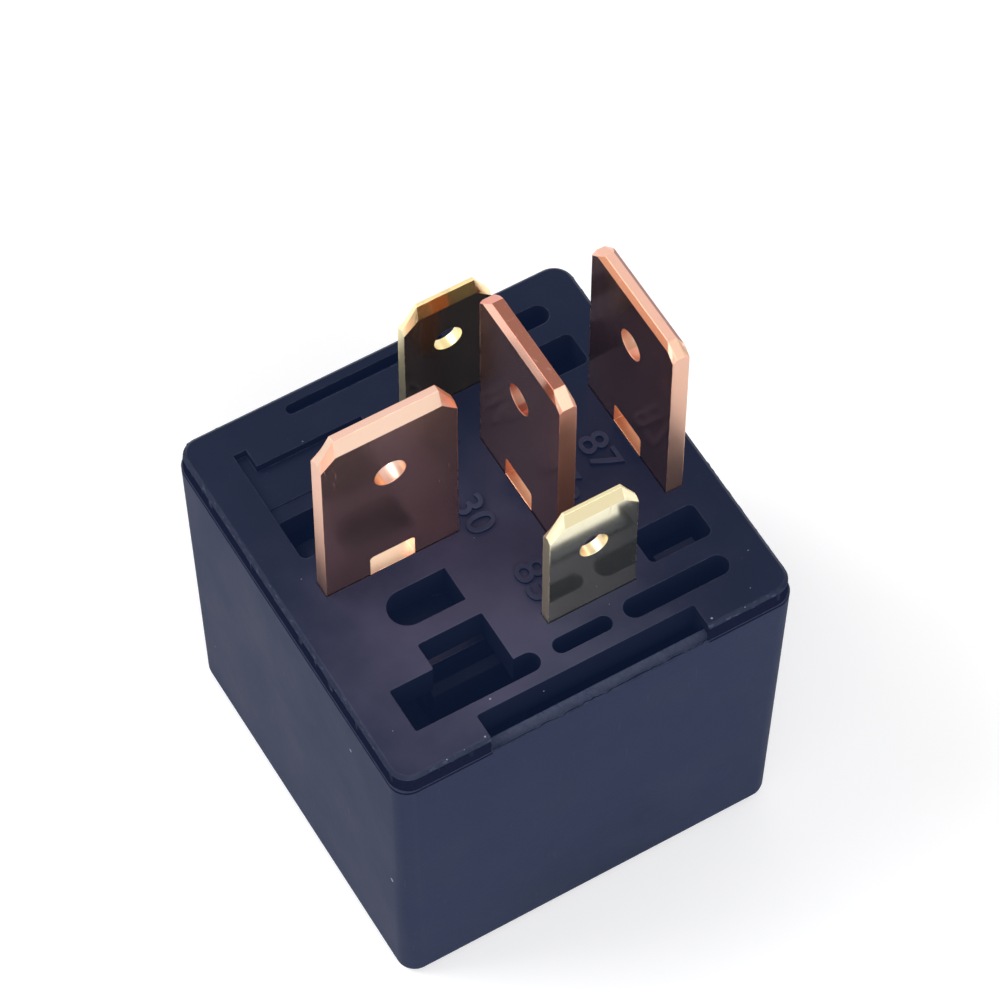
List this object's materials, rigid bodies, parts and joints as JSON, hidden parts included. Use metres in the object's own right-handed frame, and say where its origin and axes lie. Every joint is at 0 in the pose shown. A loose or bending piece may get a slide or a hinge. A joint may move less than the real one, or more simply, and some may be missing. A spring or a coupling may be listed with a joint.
{
  "type": "automotive relay",
  "caption": "Heavy-duty automotive changeover relay with a square black plastic housing, wide copper load blades, brass coil blades and a hinged armature inside.",
  "frame": {"origin": "middle of the closed end of the cover, on its outer face", "axes": "+Z from the closed end towards the tips of the blades; +X along the row of load blades from 30 through 87a to 87; +Y from coil blade 85 to coil blade 86"},
  "size_m": [0.0288, 0.0288, 0.043],
  "materials": {
    "cover_plastic": "fine moulded texture, satin",
    "base_plastic": "smooth moulded, satin",
    "copper": "rolled copper strip, lightly scratched, cut edges bright",
    "brass": "rolled brass strip, cut edges bright",
    "iron": "soft iron, dull plating",
    "bobbin_plastic": "moulded",
    "enamelled_wire": "enamelled copper wire, close wound",
    "tape": "thin film tape",
    "spring_copper": "rolled copper alloy strip",
    "rivet_steel": "plated rivet",
    "silver": "silver alloy contact rivet",
    "braid_copper": "braided copper cord",
    "spring_steel": "drawn spring wire"
  },
  "bodies": {
    "housing": {"cover": "cover_plastic", "base": "base_plastic", "terminal_30": "copper", "terminal_87": "copper", "terminal_87a": "copper", "terminal_85": "brass", "terminal_86": "brass", "yoke": "iron", "core": "iron", "bobbin": "bobbin_plastic", "winding": "enamelled_wire", "coil_tape": "tape", "contact_87": "silver", "contact_87a": "silver", "braid": "braid_copper", "return_spring": "spring_steel"},
    "armature": {"armature": "iron", "contact_leaf": "spring_copper", "leaf_rivets": "rivet_steel", "moving_contact": "silver"}
  },
  "joints": [
    {"name": "armature_hinge", "type": "hinge", "parent": "housing", "child": "armature", "pos_m": [-0.0109, 0.0003, 0.008], "axis": [0, -1, 0], "range_deg": [0, 3.2], "stiffness_Nm_per_rad": 0.002, "springref_deg": -28.65, "deforming": ["return_spring", "braid"]}
  ]
}
